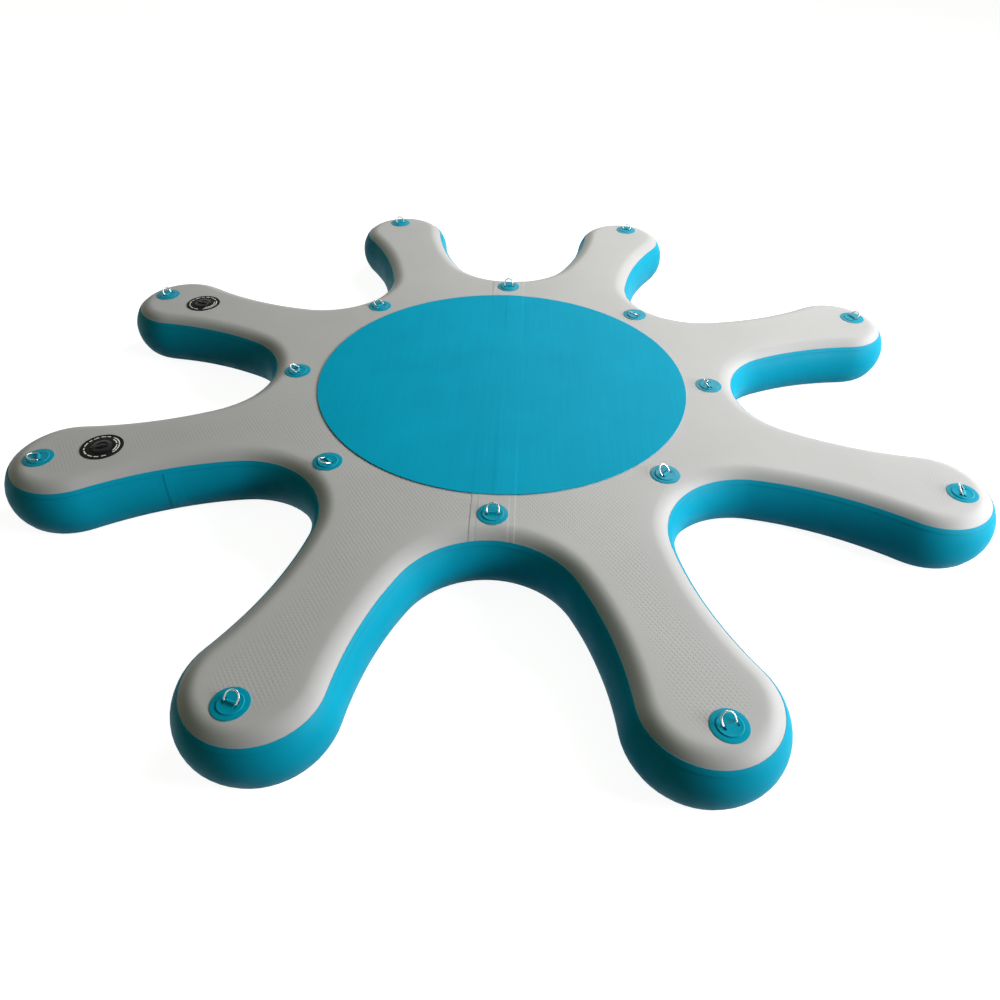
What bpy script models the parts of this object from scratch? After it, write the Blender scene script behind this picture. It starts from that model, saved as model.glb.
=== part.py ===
"""Eight-armed inflatable floating dock of drop-stitch cloth, in metres, +Z up, lying on z = 0.

The arms point outward in pairs, each pair on one of the four main axes, with the front on -Y. Arms and
notches are numbered counter-clockwise from the front: arm 1 is the left one of the front pair, and notch 1
is the one between the two front arms.
"""

import math

import bmesh
import bpy
from mathutils import Matrix, Vector

# Clearance between pieces that touch
GAP = 0.0003

# Inflated body
THICKNESS = 0.200  # over the outer faces of the two panels
BULGE = 0.080  # the side wall stands out this far past the flat of the panels
ARM_ANGLE = math.radians(21.56)  # between an arm and the main axis of its pair
TIP_CENTRE = 1.413  # from the middle to the centre of an arm's round end
TIP_RADIUS = 0.200
NOTCH_CENTRE = 1.075  # from the middle to the centre of a notch's round bottom
NOTCH_RADIUS = 0.235
FLANK_RADIUS = 1.040  # the hollow side of an arm, tangent to its end and to the notch
SEAM_ANGLE = math.radians(50)  # where the panels end on the bulge, above and below its widest line
SKIN = 0.0018  # coated cloth, two plies
SEAM_GAP = 0.0012  # between the edges of two sheets that a tape joins

# Tape over the joint of the two halves, and the deck pad
TAPE_WIDTH = 0.128
TAPE_THICKNESS = 0.0009
PAD_THICKNESS = 0.003
PAD_CLEARANCE = 0.040  # between the pad's edge and the patches in the notches

# D-ring patches: a base disc, and a keeper disc welded on it over the ring's bar
PATCH_RADIUS = 0.045
BASE_THICKNESS = 0.0012
KEEPER_RADIUS = 0.031
KEEPER_THICKNESS = 0.002
KEEPER_SLOPE = 0.0015  # the keeper's rim leans in by this much
SLEEVE_WALL = 0.0011  # cloth over the ring's bar
TIP_INSET = 0.121  # from the end of an arm to the middle of its patch
NOTCH_INSET = 0.115  # from the bottom of a notch to the middle of its patch

# D-rings of round stainless wire
WIRE_RADIUS = 0.00225
RING_OPENING = 0.030  # clear width inside the ring
RING_LEG = 0.0115  # straight part of the side, from the bar to the bow
RING_CORNER = 0.0035
BAR_PLAY = 0.00035
LEAN_LIMIT = math.radians(78)  # a ring swings this far from upright, both ways
TIP_LEANS = (-50, -50, -40, 50, 62, 55, 20, 70)  # degrees outward, as the rings happen to lie
NOTCH_LEANS = (-45, -45, -45, -60, 20, 62, 55, 65)

# Inflation valves on the two left arms, turned about their own axis
VALVE_INSET = 0.300  # from the end of an arm to the middle of its valve
VALVE_ARMS = {"front": 8, "back": 7}
PLATE_RADIUS = 0.064
PLATE_THICKNESS = 0.0015
FLANGE_RADIUS = 0.031
FLANGE_THICKNESS = 0.0025
BARREL_RADIUS = 0.022
BARREL_LENGTH = 0.038  # below the panel's outer face
MOUTH_RADIUS = 0.0195
MOUTH_DEPTH = 0.0053  # room for the cap, above the throat
THROAT_RADIUS = 0.015
WEB_DEPTH = 0.023  # the web that guides the stem, below the panel's outer face
WEB_THICKNESS = 0.003
AIR_HOLE_RADIUS = 0.003
ROD_RADIUS = 0.003
ROD_PLAY = 0.0006
STEM_TRAVEL = 0.005
BUTTON_RADIUS = 0.008
BUTTON_THICKNESS = 0.0025
BUTTON_DEPTH = 0.0095
FOOT_THICKNESS = 0.0025
WASHER_THICKNESS = 0.002
SPRING_RADIUS = 0.005
SPRING_WIRE = 0.0005  # radius
SPRING_TURNS = 3.5
NUT_RADIUS = 0.033
NUT_THICKNESS = 0.006
CAP_SINK = 0.002  # the cap's face lies this far below the flange
GRIP_LENGTH = 0.032
GRIP_WIDTH = 0.005
GRIP_HEIGHT = 0.004
TONGUE_THICKNESS = 0.0012
TONGUE_WIDTH = 0.010
TETHER_WIDTH = 0.003
TETHER_THICKNESS = 0.0015
TAB_HEIGHT = 0.012
TURN_PLAY = 0.0005  # between turned pieces, one inside the other

# Facets
TIP_STEPS = 4  # along half of an arm's end
FLANK_STEPS = 2
NOTCH_STEPS = 3  # along half of a notch's bottom
PAD_SIDES = 64
DISC_SIDES = 18
BOW_STEPS = 4  # along half of a ring's bow
VALVE_SIDES = 16
PLATE_SIDES = 28
SMALL_SIDES = 12

# Heights that follow from the stack, lowest first
BODY_MIDDLE = TAPE_THICKNESS + GAP + THICKNESS / 2
PANEL_TOP = BODY_MIDDLE + THICKNESS / 2
TAPE_TOP = PANEL_TOP + GAP + TAPE_THICKNESS

# Radii and heights that follow from the sizes above
SLEEVE_RADIUS = WIRE_RADIUS + BAR_PLAY + SLEEVE_WALL
BAR_HEIGHT = SLEEVE_RADIUS + GAP
KEEPER_TOP = BASE_THICKNESS + KEEPER_THICKNESS
RING_HALF = RING_OPENING / 2 + WIRE_RADIUS
NOTCH_PATCH = NOTCH_CENTRE - NOTCH_RADIUS - NOTCH_INSET
TIP_PATCH = TIP_CENTRE + TIP_RADIUS - TIP_INSET
VALVE_DISTANCE = TIP_CENTRE + TIP_RADIUS - VALVE_INSET
PAD_RADIUS = NOTCH_PATCH - PATCH_RADIUS - PAD_CLEARANCE
PLATE_TOP = GAP + PLATE_THICKNESS
FLANGE_TOP = PLATE_TOP + GAP + FLANGE_THICKNESS


def clear_scene():
    for obj in list(bpy.data.objects):
        bpy.data.objects.remove(obj, do_unlink=True)


def new_collection(name, hidden=False):
    made = bpy.data.collections.new(name)
    made.hide_render = hidden
    bpy.context.scene.collection.children.link(made)
    return made


def new_material(name, red, green, blue, roughness, metallic=0.0):
    made = bpy.data.materials.new(name)
    made.use_nodes = True
    shader = made.node_tree.nodes["Principled BSDF"]
    shader.inputs["Base Color"].default_value = (red, green, blue, 1)
    shader.inputs["Roughness"].default_value = roughness
    shader.inputs["Metallic"].default_value = metallic
    made.diffuse_color = (red, green, blue, 1)
    return made


clear_scene()
DOCK = new_collection("inflatable_dock")
CUTTERS = new_collection("cutters", hidden=True)


GREY_CLOTH = (0.43, 0.41, 0.38, 0.62)
TEAL_CLOTH = (0.01, 0.33, 0.47, 0.38)
PAD_FOAM = (0.01, 0.36, 0.50, 0.55)
YARN = (0.78, 0.78, 0.75, 0.90)
STEEL = (0.80, 0.80, 0.82, 0.18, 1.0)
BLACK_PLASTIC = (0.015, 0.015, 0.016, 0.40)
BLACK_RUBBER = (0.02, 0.02, 0.02, 0.70)


def add_object(name, data, look, parent=None, location=(0, 0, 0), rotation=(0, 0, 0)):
    """Puts mesh or curve data in the dock's collection as one sub-part, with a material of its own."""
    obj = bpy.data.objects.new(name, data)
    obj.parent = parent
    obj.location = location
    obj.rotation_euler = rotation
    DOCK.objects.link(obj)
    if not data.materials:
        data.materials.append(None)
    obj.material_slots[0].link = "OBJECT"
    obj.material_slots[0].material = new_material(f"{name}_finish", *look)
    return obj


def add_empty(name, location, turn):
    empty = bpy.data.objects.new(name, None)
    empty.location = location
    empty.rotation_euler = (0, 0, turn)
    empty.empty_display_size = PATCH_RADIUS
    DOCK.objects.link(empty)
    return empty


def mesh_from(bm, name):
    mesh = bpy.data.meshes.new(name)
    bm.to_mesh(mesh)
    bm.free()
    return mesh


def rounded(mesh):
    mesh.shade_smooth()
    mesh.set_sharp_from_angle(angle=math.radians(35))
    return mesh


def cylinder(name, radius, bottom, top, sides, top_radius=None):
    """Upright cylinder, or a cone where top_radius is given."""
    bm = bmesh.new()
    bmesh.ops.create_cone(
        bm,
        cap_ends=True,
        segments=sides,
        radius1=radius,
        radius2=radius if top_radius is None else top_radius,
        depth=top - bottom,
        matrix=Matrix.Translation((0, 0, (top + bottom) / 2)),
    )
    return mesh_from(bm, name)


def box(name, low, high):
    low = Vector(low)
    high = Vector(high)
    bm = bmesh.new()
    size = Matrix.Diagonal((*(high - low), 1))
    bmesh.ops.create_cube(bm, size=1, matrix=Matrix.Translation((low + high) / 2) @ size)
    return mesh_from(bm, name)


def around(radius, sides):
    """Corner radius of a hole with that many sides, for a round piece of the given radius to fit in."""
    return radius / math.cos(math.pi / sides)


def along_y(mesh, height):
    """Lays an upright mesh along Y, with its axis at the given height."""
    mesh.transform(Matrix.Translation((0, 0, height)) @ Matrix.Rotation(math.pi / 2, 4, "X"))
    return mesh


def cutter(mesh, parent=None, location=(0, 0, 0)):
    obj = bpy.data.objects.new(mesh.name, mesh)
    obj.parent = parent
    obj.location = location
    obj.hide_render = True
    obj.display_type = "WIRE"
    CUTTERS.objects.link(obj)
    return obj


def combine(obj, operation, tool):
    change = obj.modifiers.new(f"{operation.lower()}_{tool.name}", "BOOLEAN")
    change.operation = operation
    change.object = tool
    change.solver = "EXACT"


def settled(obj):
    """The mesh that an object's modifiers make, as mesh data of its own. The object is removed."""
    graph = bpy.context.evaluated_depsgraph_get()
    mesh = bpy.data.meshes.new_from_object(obj.evaluated_get(graph))
    bpy.data.objects.remove(obj)
    return rounded(mesh)


def joined(mesh, added=(), removed=()):
    """One mesh from a first one, with others added to it and then others cut from it."""
    obj = cutter(mesh)
    for tool in added:
        combine(obj, "UNION", cutter(tool))
    for tool in removed:
        combine(obj, "DIFFERENCE", cutter(tool))
    return settled(obj)


def turned(name, profile, sides, closed=True):
    """A profile of (radius, height) points spun about Z, from the top down its outer side."""
    bm = bmesh.new()
    points = [bm.verts.new((radius, 0, height)) for radius, height in profile]
    following = points[1:] + points[:1] if closed else points[1:]
    for pair in zip(points, following):
        bm.edges.new(pair)
    obj = cutter(mesh_from(bm, name))
    spin = obj.modifiers.new("spin", "SCREW")
    spin.steps = sides
    spin.render_steps = sides
    spin.use_merge_vertices = True
    spin.merge_threshold = 0.00001
    return settled(obj)


def wire(name, points, radius, cyclic, resolution):
    """Round wire along the points, as a curve with filled caps."""
    curve = bpy.data.curves.new(name, "CURVE")
    curve.dimensions = "3D"
    curve.bevel_depth = radius
    curve.bevel_resolution = resolution
    curve.use_fill_caps = True
    spline = curve.splines.new("POLY")
    spline.points.add(len(points) - 1)
    for control, point in zip(spline.points, points):
        control.co = (*point, 1)
    spline.use_cyclic_u = cyclic
    return curve


# The outline, as points with the direction that faces out of the dock


def polar(distance, angle):
    return Vector((distance * math.cos(angle), distance * math.sin(angle)))


def arc(centre, radius, start, end, steps, facing):
    """Points from angle start to angle end the short way; facing is 1 on a bulge and -1 in a hollow."""
    swing = math.remainder(end - start, math.tau)
    points = []
    for step in range(steps + 1):
        way = polar(1, start + swing * step / steps)
        points.append((centre + radius * way, facing * way))
    return points


def heading(vector):
    return math.atan2(vector.y, vector.x)


def half_arm(arm, notch):
    """From the end of the arm to the middle of the notch beside it, both given by their angle."""
    tip = polar(TIP_CENTRE, arm)
    hollow = polar(NOTCH_CENTRE, notch)
    reach = (hollow - tip).length
    along = (hollow - tip) / reach
    to_tip = FLANK_RADIUS + TIP_RADIUS
    to_hollow = FLANK_RADIUS - NOTCH_RADIUS
    foot = (to_tip**2 - to_hollow**2 + reach**2) / (2 * reach)
    off = math.copysign(math.sqrt(to_tip**2 - foot**2), notch - arm)
    flank = tip + foot * along + off * Vector((along.y, -along.x))
    points = arc(tip, TIP_RADIUS, arm, heading(flank - tip), TIP_STEPS, 1)
    points += arc(flank, FLANK_RADIUS, heading(tip - flank), heading(hollow - flank), FLANK_STEPS, -1)[1:]
    points += arc(hollow, NOTCH_RADIUS, heading(hollow - flank), notch + math.pi, NOTCH_STEPS, -1)[1:]
    return points


def arm_angle(number):
    """Direction of an arm, numbered counter-clockwise from the left one of the front pair."""
    pair = math.radians(-90 + 90 * ((number - 1) // 2))
    return pair + (ARM_ANGLE if number % 2 == 0 else -ARM_ANGLE)


def notch_angle(number):
    return math.radians(-90 + 45 * (number - 1))


def right_outline():
    """The right half, counter-clockwise from the front notch to the back one."""
    points = []
    for number in (2, 3, 4, 5):
        arm = arm_angle(number)
        points += half_arm(arm, notch_angle(number - 1))[:0:-1]
        points += half_arm(arm, notch_angle(number))[:-1]
    return points + half_arm(arm, notch_angle(number))[-1:]


def flipped(points):
    """The other half of the outline, still counter-clockwise."""
    return [(Vector((-p.x, p.y)), Vector((-n.x, n.y))) for p, n in reversed(points)]


def section(angle, depth):
    """Inset from the outline and height of a point on the bulge, depth under its face."""
    half = THICKNESS / 2
    out = Vector((math.cos(angle) / BULGE, math.sin(angle) / half)).normalized()
    inset = BULGE * (1 - math.cos(angle)) + depth * out.x
    return inset, BODY_MIDDLE + half * math.sin(angle) - depth * out.y


def level(outline, angle, depth=0.0, side=0):
    """The outline at one height of the section. A half, with side 1 or -1, keeps clear of the middle."""
    inset, height = section(angle, depth)
    ring = []
    for point, facing in outline:
        spot = point - inset * facing
        if side:
            spot.x = side * max(abs(spot.x), SEAM_GAP / 2)
        ring.append((spot.x, spot.y, height))
    return ring


def loft(name, levels, closed, bottom=False, top=False):
    """Quads between levels of as many points, lowest first; bottom and top fill the end levels."""
    bm = bmesh.new()
    rings = [[bm.verts.new(point) for point in ring] for ring in levels]
    for lower, upper in zip(rings, rings[1:]):
        for here in range(len(lower) - (not closed)):
            there = (here + 1) % len(lower)
            bm.faces.new((lower[here], lower[there], upper[there], upper[here]))
    if bottom:
        bm.faces.new(rings[0][::-1])
    if top:
        bm.faces.new(rings[-1])
    return rounded(mesh_from(bm, name))


def sheet(obj, thickness, offset):
    """Gives an open surface its thickness, inward with offset -1 and outward with 1."""
    skin = obj.modifiers.new("cloth", "SOLIDIFY")
    skin.thickness = thickness
    skin.offset = offset
    skin.use_even_offset = True
    return obj


RIGHT = right_outline()
LEFT = flipped(RIGHT)
SHOULDER = (SEAM_ANGLE + math.pi / 2) / 2
SEAM_TURN = SEAM_GAP / (BULGE + THICKNESS / 2)  # half of the gap, seen from the bulge's middle


def build_panels(half, outline, side):
    """The grey top and the bottom of one half, each with its shoulder down or up to the side wall."""
    edge = SEAM_ANGLE + SEAM_TURN
    rising = (edge, SHOULDER, math.pi / 2)
    top = loft(f"top_{half}", [level(outline, angle, 0, side) for angle in rising], False, top=True)
    falling = [-angle for angle in reversed(rising)]
    base = loft(f"base_{half}", [level(outline, angle, 0, side) for angle in falling], False, bottom=True)
    panel = sheet(add_object(f"top_panel_{half}", top, GREY_CLOTH), SKIN, -1)
    sheet(add_object(f"bottom_panel_{half}", base, TEAL_CLOTH), SKIN, -1)
    return panel


def build_filling(half, outline, side):
    """The yarns and the air among them, one block that backs the skins."""
    angles = (-math.pi / 2, -SEAM_ANGLE, 0, SEAM_ANGLE, math.pi / 2)
    levels = [level(outline, angle, SKIN + GAP, side) for angle in angles]
    return add_object(f"drop_stitch_{half}", loft(f"yarns_{half}", levels, True, True, True), YARN)


def build_side_wall():
    edge = SEAM_ANGLE - SEAM_TURN
    angles = [edge * step / 2 for step in range(-2, 3)]
    wall = loft("wall", [level(RIGHT[:-1] + LEFT[:-1], angle) for angle in angles], True)
    sheet(add_object("side_wall", wall, TEAL_CLOTH), SKIN, -1)


def tape_row(end, angle, side):
    """Three points across the tape, on the two facets that meet in the middle of a notch."""
    middle, beside = (Vector(spot) for spot in level((end[0], end[1]), angle, -GAP))
    share = TAPE_WIDTH / 2 / abs(beside.x - middle.x)
    edge = middle.lerp(beside, share)
    row = [(-abs(edge.x), edge.y, edge.z), middle, (abs(edge.x), edge.y, edge.z)]
    return row if side > 0 else row[::-1]


def build_tape(name, side, look):
    """Tape along the joint of the halves, over the flat and down both shoulders."""
    edge = SEAM_ANGLE + SEAM_TURN
    angles = [side * angle for angle in (edge, SHOULDER, math.pi / 2)]
    front = [tape_row(RIGHT[:2], angle, side) for angle in angles]
    back = [tape_row(LEFT[:2], angle, side) for angle in reversed(angles)]
    sheet(add_object(name, loft(name, front + back, False), look), TAPE_THICKNESS, 1)


def build_pad():
    bottom = TAPE_TOP + GAP
    disc = cylinder("pad", PAD_RADIUS, bottom, bottom + PAD_THICKNESS, PAD_SIDES)
    add_object("deck_pad", rounded(disc), PAD_FOAM)


def ring_path():
    """The closed line of the wire: bar on Y at height 0, rounded corners, legs, and a half-round bow."""
    bow = arc(Vector((0, RING_LEG)), RING_HALF, 0, math.pi / 2, BOW_STEPS, 1)
    corner = Vector((RING_HALF - RING_CORNER, RING_CORNER))
    turn = arc(corner, RING_CORNER, -math.pi / 2, 0, 2, 1)
    right = [spot for spot, _ in turn + bow]
    left = [Vector((-spot.x, spot.y)) for spot in reversed(right[:-1])]
    return [(0, spot.x, spot.y) for spot in right + left]


def build_patch_mesh():
    """Base disc, keeper and the sleeve over the ring's bar, with windows where the ring's legs come up."""
    base = cylinder("patch", PATCH_RADIUS, 0, BASE_THICKNESS, DISC_SIDES)
    low = BASE_THICKNESS / 2
    keeper = cylinder("keeper", KEEPER_RADIUS, low, KEEPER_TOP, DISC_SIDES, KEEPER_RADIUS - KEEPER_SLOPE)
    inner = RING_HALF - RING_CORNER - BAR_PLAY
    outer = RING_HALF + WIRE_RADIUS + BAR_PLAY
    sleeve = along_y(cylinder("sleeve", SLEEVE_RADIUS, -inner, inner, SMALL_SIDES), BAR_HEIGHT)
    bore = around(WIRE_RADIUS + BAR_PLAY, SMALL_SIDES)
    tunnel = along_y(cylinder("tunnel", bore, -outer, outer, SMALL_SIDES), BAR_HEIGHT)
    rise = KEEPER_TOP + GAP + WIRE_RADIUS / math.sin(LEAN_LIMIT) - BAR_HEIGHT
    reach = rise * math.tan(LEAN_LIMIT) + WIRE_RADIUS
    cuts = [tunnel]
    for side in (-1, 1):
        near, far = sorted((side * inner, side * outer))
        cuts.append(box("window", (-reach, near, BASE_THICKNESS - GAP), (reach, far, 2 * BAR_HEIGHT)))
    return joined(base, [keeper, sleeve], cuts)


def build_rings():
    """The sixteen patches, and the ring that swings in each."""
    patch = build_patch_mesh()
    loop = wire("ring", ring_path(), WIRE_RADIUS, cyclic=True, resolution=2)
    rows = [
        ("tip", TIP_PATCH, arm_angle, TIP_LEANS),
        ("notch", NOTCH_PATCH, notch_angle, NOTCH_LEANS),
    ]
    for kind, distance, angle_of, leans in rows:
        for number, lean in enumerate(leans, start=1):
            turn = angle_of(number)
            on_tape = kind == "notch" and number in (1, 5)
            ground = (TAPE_TOP if on_tape else PANEL_TOP) + GAP
            seat = add_empty(f"seat_{kind}_{number}", (*polar(distance, turn), ground), turn)
            add_object(f"patch_{kind}_{number}", patch, TEAL_CLOTH, seat)
            add_object(
                f"ring_{kind}_{number}",
                loop,
                STEEL,
                seat,
                location=(0, 0, BAR_HEIGHT),
                rotation=(0, math.radians(lean), 0),
            )


# Valves. Heights are from the panel's outer face


def valve_body_mesh():
    flange = PLATE_TOP + GAP
    ledge = FLANGE_TOP - MOUTH_DEPTH
    guide = ROD_RADIUS + ROD_PLAY
    profile = [
        (FLANGE_RADIUS, FLANGE_TOP),
        (FLANGE_RADIUS, flange),
        (BARREL_RADIUS, flange),
        (BARREL_RADIUS, -BARREL_LENGTH),
        (THROAT_RADIUS, -BARREL_LENGTH),
        (THROAT_RADIUS, -WEB_DEPTH - WEB_THICKNESS),
        (guide, -WEB_DEPTH - WEB_THICKNESS),
        (guide, -WEB_DEPTH),
        (THROAT_RADIUS, -WEB_DEPTH),
        (THROAT_RADIUS, ledge),
        (MOUTH_RADIUS, ledge),
        (MOUTH_RADIUS, FLANGE_TOP),
    ]
    body = turned("valve_body", profile, VALVE_SIDES)
    holes = []
    for quarter in range(4):
        hole = cylinder("air_hole", AIR_HOLE_RADIUS, -1.5 * WEB_DEPTH, -WEB_DEPTH / 2, 8)
        spot = polar((THROAT_RADIUS + guide) / 2, quarter * math.pi / 2)
        hole.transform(Matrix.Translation((*spot, 0)))
        holes.append(hole)
    return joined(body, removed=holes)


def washer_mesh(name, inner, outer, bottom, top, sides):
    return turned(name, [(outer, top), (outer, bottom), (inner, bottom), (inner, top)], sides)


def stem_mesh():
    """Button, rod and foot in one piece; the foot pulls the washer up against the web."""
    foot_top = -WEB_DEPTH - WEB_THICKNESS - 2 * GAP - WASHER_THICKNESS
    foot = THROAT_RADIUS - 3 * TURN_PLAY
    profile = [
        (0, -BUTTON_DEPTH),
        (BUTTON_RADIUS, -BUTTON_DEPTH),
        (BUTTON_RADIUS, -BUTTON_DEPTH - BUTTON_THICKNESS),
        (ROD_RADIUS, -BUTTON_DEPTH - BUTTON_THICKNESS),
        (ROD_RADIUS, foot_top),
        (foot, foot_top),
        (foot, foot_top - FOOT_THICKNESS),
        (0, foot_top - FOOT_THICKNESS),
    ]
    return turned("valve_stem", profile, SMALL_SIDES, closed=False)


def least_gap(points, apart, radius):
    """Least clear distance between lengths of one wire that lie more than so many points apart."""
    gaps = []
    for here, spot in enumerate(points):
        for other in points[here + apart + 1 :]:
            gaps.append((Vector(spot) - Vector(other)).length - 2 * radius)
    return min(gaps)


def spring_curve():
    """The stem's spring, one unbroken coil between the web and the button."""
    bottom = -WEB_DEPTH + GAP + SPRING_WIRE
    top = -BUTTON_DEPTH - BUTTON_THICKNESS - GAP - SPRING_WIRE
    per_turn = 8
    count = round(SPRING_TURNS * per_turn)
    points = []
    for step in range(count + 1):
        spot = polar(SPRING_RADIUS, math.tau * step / per_turn)
        points.append((*spot, bottom + (top - bottom) * step / count))
    gap = least_gap(points, per_turn // 2, SPRING_WIRE)
    print(f"valve spring: least gap between turns {1000 * gap:.2f} mm")
    return wire("valve_spring", points, SPRING_WIRE, cyclic=False, resolution=1)


def cap_mesh():
    """Disc that closes the mouth, with a grip across it and a tongue that reaches over the tether."""
    face = FLANGE_TOP - CAP_SINK
    seat = FLANGE_TOP - MOUTH_DEPTH + GAP
    disc = cylinder("valve_cap", MOUTH_RADIUS - TURN_PLAY, seat, face, VALVE_SIDES)
    corner = Vector((GRIP_LENGTH / 2, GRIP_WIDTH / 2, face + GRIP_HEIGHT))
    grip = box("grip", (-corner.x, -corner.y, face - CAP_SINK), corner)
    low = FLANGE_TOP + GAP
    end = FLANGE_RADIUS + TURN_PLAY + TETHER_WIDTH
    tongue = box("tongue", (0, -TONGUE_WIDTH / 2, low), (end, TONGUE_WIDTH / 2, low + TONGUE_THICKNESS))
    return joined(disc, [grip, tongue])


def tether_mesh(tab_up):
    """Loose ring round the flange that the cap's tongue is tied to; the tab stands up or lies flat."""
    inner = around(FLANGE_RADIUS + TURN_PLAY, VALVE_SIDES)
    outer = inner + TETHER_WIDTH
    bottom = PLATE_TOP + GAP
    top = bottom + TETHER_THICKNESS
    ring = washer_mesh("valve_tether", inner, outer, bottom, top, VALVE_SIDES)
    root = -inner - TETHER_WIDTH / 2
    if tab_up:
        low = (root - TETHER_THICKNESS, -TETHER_WIDTH, bottom + GAP)
        high = (root, TETHER_WIDTH, bottom + TAB_HEIGHT)
    else:
        low = (root - TAB_HEIGHT, -TETHER_WIDTH, bottom + GAP)
        high = (root, TETHER_WIDTH, top - GAP)
    return joined(ring, [box("tab", low, high)])


def build_valve(place, number, panel, filling):
    """One valve through the top panel, with a pocket for it in the filling."""
    turn = arm_angle(number)
    seat = add_empty(f"seat_valve_{place}", (*polar(VALVE_DISTANCE, turn), PANEL_TOP), turn)
    name = f"valve_{place}"
    bore = BARREL_RADIUS + TURN_PLAY
    hole = cylinder(f"{name}_hole", around(bore, DISC_SIDES), -BARREL_LENGTH, BARREL_LENGTH, DISC_SIDES)
    combine(panel, "DIFFERENCE", cutter(hole, seat))
    room = around(NUT_RADIUS + TURN_PLAY, DISC_SIDES)
    pocket = cylinder(f"{name}_pocket", room, -BARREL_LENGTH - STEM_TRAVEL, BARREL_LENGTH, DISC_SIDES)
    combine(filling, "DIFFERENCE", cutter(pocket, seat))

    wide = around(bore, PLATE_SIDES)
    plate = washer_mesh(f"{name}_plate", wide, PLATE_RADIUS, GAP, PLATE_TOP, PLATE_SIDES)
    add_object(f"{name}_plate", plate, BLACK_RUBBER, seat)
    add_object(f"{name}_body", valve_body_mesh(), BLACK_PLASTIC, seat)
    wide = around(bore, VALVE_SIDES)
    top = -SKIN - GAP
    nut = washer_mesh(f"{name}_nut", wide, NUT_RADIUS, top - NUT_THICKNESS, top, VALVE_SIDES)
    add_object(f"{name}_nut", nut, BLACK_PLASTIC, seat)
    add_object(f"{name}_stem", stem_mesh(), BLACK_PLASTIC, seat)
    washer_top = -WEB_DEPTH - WEB_THICKNESS - GAP
    washer = washer_mesh(
        f"{name}_washer",
        ROD_RADIUS + ROD_PLAY,
        THROAT_RADIUS - 3 * TURN_PLAY,
        washer_top - WASHER_THICKNESS,
        washer_top,
        SMALL_SIDES,
    )
    add_object(f"{name}_washer", washer, BLACK_RUBBER, seat)
    add_object(f"{name}_spring", spring_curve(), STEEL, seat)
    add_object(f"{name}_cap", cap_mesh(), BLACK_PLASTIC, seat)
    add_object(f"{name}_tether", tether_mesh(place == "back"), BLACK_RUBBER, seat)


build_panels("right", RIGHT, 1)
LEFT_PANEL = build_panels("left", LEFT, -1)
build_filling("right", RIGHT, 1)
LEFT_FILLING = build_filling("left", LEFT, -1)
build_side_wall()
build_tape("top_seam_tape", 1, GREY_CLOTH)
build_tape("bottom_seam_tape", -1, TEAL_CLOTH)
build_pad()
build_rings()
for where, arm_number in VALVE_ARMS.items():
    build_valve(where, arm_number, LEFT_PANEL, LEFT_FILLING)
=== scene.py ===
# %% [markdown]
# # Dressing an eight-armed inflatable dock
#
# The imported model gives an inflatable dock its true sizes: every panel, tape, ring patch and valve part
# is there as a plain solid. This lesson puts the visible surfaces over those solids, in the same
# coordinates and in metres. The cloth gets its smooth inflated curves, the valves get their moulded
# edges, and each finish is built from shader nodes alone.
#
# The first three lines load the model. Nothing else is read from disk.

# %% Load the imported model
import math

import bmesh
import bpy
from mathutils import Matrix, Vector, noise


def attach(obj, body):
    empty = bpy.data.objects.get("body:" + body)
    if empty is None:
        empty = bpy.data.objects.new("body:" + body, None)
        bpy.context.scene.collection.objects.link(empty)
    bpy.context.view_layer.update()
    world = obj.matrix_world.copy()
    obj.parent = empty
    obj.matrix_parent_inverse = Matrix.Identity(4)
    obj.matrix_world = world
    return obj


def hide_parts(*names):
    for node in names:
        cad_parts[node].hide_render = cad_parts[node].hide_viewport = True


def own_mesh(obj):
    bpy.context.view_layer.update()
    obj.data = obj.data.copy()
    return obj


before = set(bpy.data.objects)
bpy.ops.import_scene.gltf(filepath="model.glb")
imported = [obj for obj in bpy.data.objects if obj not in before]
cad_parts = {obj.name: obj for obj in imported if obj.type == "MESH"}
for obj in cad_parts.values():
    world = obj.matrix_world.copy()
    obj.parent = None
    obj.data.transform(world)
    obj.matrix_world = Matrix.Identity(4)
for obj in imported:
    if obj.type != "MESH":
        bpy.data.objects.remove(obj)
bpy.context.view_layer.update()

# %% [markdown]
# ## The point of view
#
# The dock lies on the ground and is seen from standing eye height, about 0.9 m behind its front edge.
# Three small turns set the aim: a tilt downward, a swing of one and a half degrees to the left, and a
# slight roll. A wide lens gives the strong taper from the front arms to the back ones.

# %% Camera
EYE = Vector((0.0619, -2.3939, 1.6831))
SWING = 0.0251
TILT = 0.7075
ROLL = 0.0224
SENSOR_WIDTH = 36  # mm
FOCAL_LENGTH = 28.394  # mm

lens = bpy.data.cameras.new("eye")
lens.sensor_width = SENSOR_WIDTH
lens.lens = FOCAL_LENGTH
camera = bpy.data.objects.new("eye", lens)
turn = (
    Matrix.Rotation(SWING, 4, "Z")
    @ Matrix.Rotation(math.pi / 2 - TILT, 4, "X")
    @ Matrix.Rotation(ROLL, 4, "Z")
)
camera.matrix_world = Matrix.Translation(EYE) @ turn
bpy.context.scene.collection.objects.link(camera)
bpy.context.scene.camera = camera
print("camera", round(math.degrees(TILT), 1), "degrees down from", round(EYE.z, 2), "m")

# %% [markdown]
# ## Colours and nodes
#
# Colours are written as sRGB hex, the way a paint chart or a picture editor gives them. Blender's shaders
# work in linear light, so one function converts them. A second function adds any node: it takes the
# node's kind, its settings, and what goes into its sockets, which is a value or another node's output. A
# third starts a finish, with every value that is the same all over set on the shader itself.
#
# Most finishes are then put together from the same few parts: a noise, a blend of two colours by it, a
# range of roughness, and a bump. Noises read the place on the object in metres, so a scale of 400 gives
# grains of 2.5 mm.

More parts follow.
